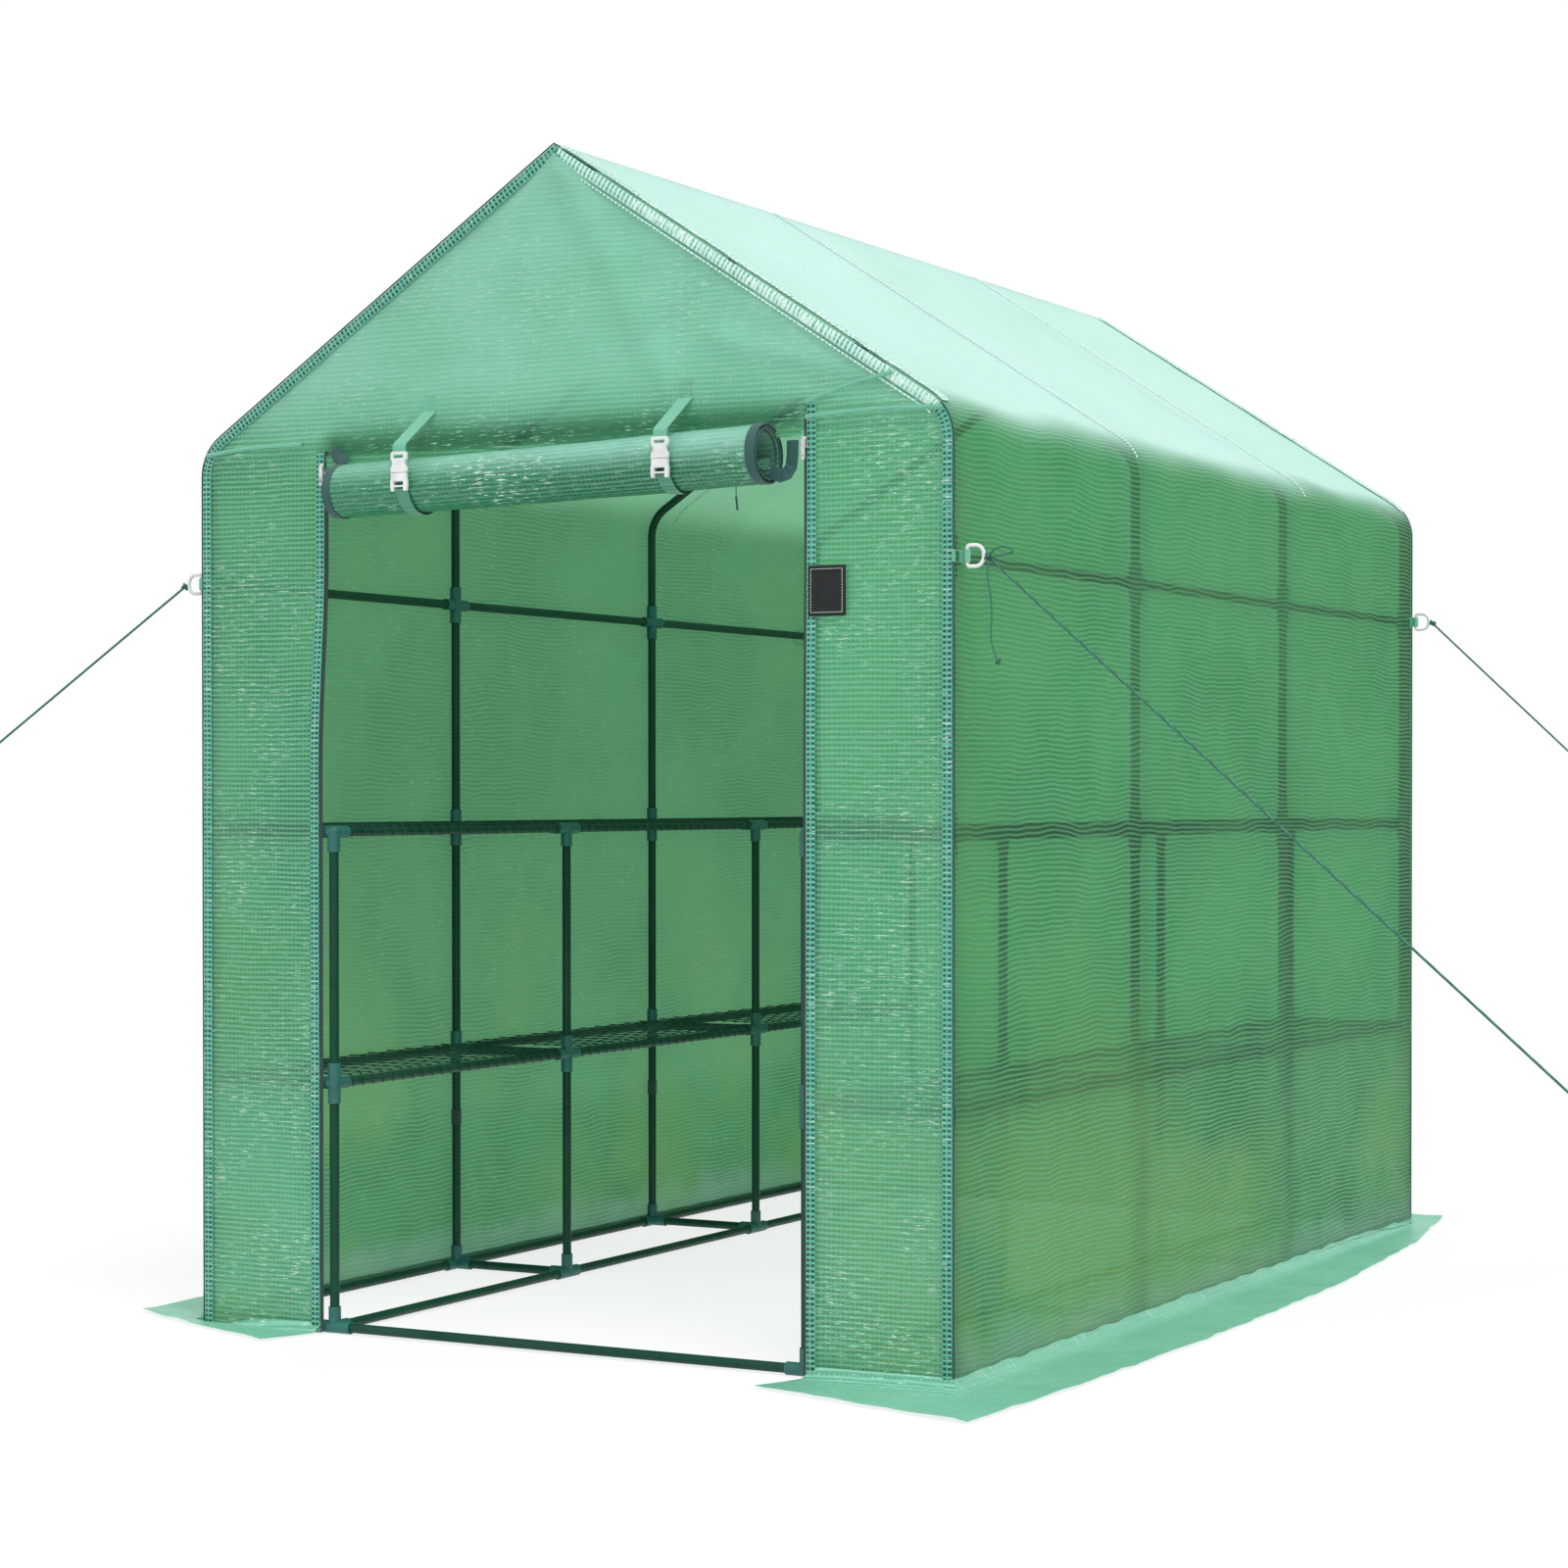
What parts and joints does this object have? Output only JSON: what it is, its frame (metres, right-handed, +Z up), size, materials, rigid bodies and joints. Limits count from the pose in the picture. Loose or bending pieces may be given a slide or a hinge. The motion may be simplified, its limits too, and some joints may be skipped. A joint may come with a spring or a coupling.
{
  "type": "walk-in greenhouse",
  "caption": "Walk-in greenhouse: green steel tube frame with plastic connectors, wire shelves, a translucent mesh cover, a roll-up zip door and guy ropes.",
  "frame": {"origin": "on the ground under the middle of the house", "axes": "+Z up, +Y from the door to the rear wall, +X to the right-hand side seen from the door"},
  "size_m": [2.9329, 2.5, 1.9498],
  "materials": {
    "frame_steel": "satin powder coat",
    "connector_plastic": "moulded satin",
    "shelf_wire": "satin coating",
    "mesh_cover": "translucent reinforced sheet with a square grid",
    "webbing": "woven",
    "white_plastic": "moulded gloss",
    "zip_tape": "zip teeth on woven tape",
    "zip_metal": "cast and plated",
    "label_cloth": "plain stitched patch",
    "tie_strap": "hook-and-loop strap",
    "rope": "thin braided cord"
  },
  "bodies": {
    "house": {"outer_posts_left": "frame_steel", "outer_posts_right": "frame_steel", "eave_tubes_left": "frame_steel", "eave_tubes_right": "frame_steel", "rafters_left": "frame_steel", "rafters_right": "frame_steel", "ridge_tubes": "frame_steel", "inner_posts_left": "frame_steel", "inner_posts_right": "frame_steel", "wall_rails_left": "frame_steel", "wall_rails_right": "frame_steel", "shelf_rails_left": "frame_steel", "shelf_rails_right": "frame_steel", "cross_tubes_left": "frame_steel", "cross_tubes_right": "frame_steel", "threshold_tube": "frame_steel", "rear_base_tube": "frame_steel", "rafter_sleeves": "connector_plastic", "ridge_connectors": "connector_plastic", "base_connectors_outer": "connector_plastic", "base_connectors_inner": "connector_plastic", "shelf_connectors_outer": "connector_plastic", "shelf_connectors_inner": "connector_plastic", "shelf_top_connectors": "connector_plastic", "upper_connectors": "connector_plastic", "shelves_low_left": "shelf_wire", "shelves_low_right": "shelf_wire", "shelves_mid_left": "shelf_wire", "shelves_mid_right": "shelf_wire", "roof_cover_left": "mesh_cover", "roof_cover_right": "mesh_cover", "side_cover_left": "mesh_cover", "side_cover_right": "mesh_cover", "rear_cover": "mesh_cover", "front_gable_cover": "mesh_cover", "front_cover_left": "mesh_cover", "front_cover_right": "mesh_cover", "ground_flaps": "mesh_cover", "door_curtain": "mesh_cover", "strap_uppers": "webbing", "ring_tabs": "webbing", "buckle_sockets": "white_plastic", "d_rings": "white_plastic", "zip_chains": "zip_tape", "label_patch": "label_cloth", "cover_ties": "tie_strap", "guy_rope_front_right": "rope", "guy_rope_front_left": "rope", "guy_rope_rear_right": "rope", "rope_tail_front_right": "rope"},
    "rolled_door": {"door_roll": "mesh_cover", "strap_wraps": "webbing", "buckle_plugs": "white_plastic"},
    "zip_left": {"zip_slider_left": "zip_metal"},
    "zip_right": {"zip_slider_right": "zip_metal"}
  },
  "joints": [
    {"name": "door_drop", "type": "slide", "parent": "house", "child": "rolled_door", "axis": [0, 0, -1], "range_m": [0, 1.35], "deforming": ["door_curtain"]},
    {"name": "zip_left_slide", "type": "slide", "parent": "house", "child": "zip_left", "axis": [0, 0, -1], "range_m": [0, 1.39]},
    {"name": "zip_right_slide", "type": "slide", "parent": "house", "child": "zip_right", "axis": [0, 0, -1], "range_m": [0, 1.39]}
  ]
}
